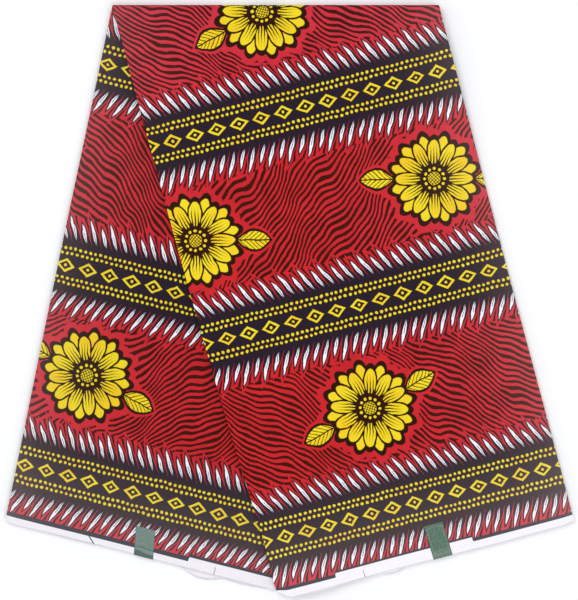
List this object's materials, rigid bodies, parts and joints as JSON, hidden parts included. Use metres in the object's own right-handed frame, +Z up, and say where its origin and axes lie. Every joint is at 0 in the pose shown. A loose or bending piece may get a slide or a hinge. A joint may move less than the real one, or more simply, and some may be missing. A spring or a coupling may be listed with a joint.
{
  "type": "folded ankara fabric",
  "caption": "Length of wax-print cotton, pleated into a flat strip and folded over its middle, with its selvage ends fanned apart below and a plain label stuck over each.",
  "frame": {"origin": "centre of the folded cloth's footprint, on the surface that it lies on", "axes": "+Z up, away from the surface it lies on; +Y along the cloth towards its top fold; +X to the right, seen from above with the top fold uppermost"},
  "size_m": [0.5969, 0.6208, 0.0146],
  "materials": {
    "printed_cotton": "satin",
    "pleated_cotton": "matte",
    "label": "satin"
  },
  "bodies": {
    "root": {"front_panel": "printed_cotton", "back_panel": "printed_cotton", "hidden_layers": "pleated_cotton", "label_front": "label", "label_back": "label"}
  },
  "joints": []
}
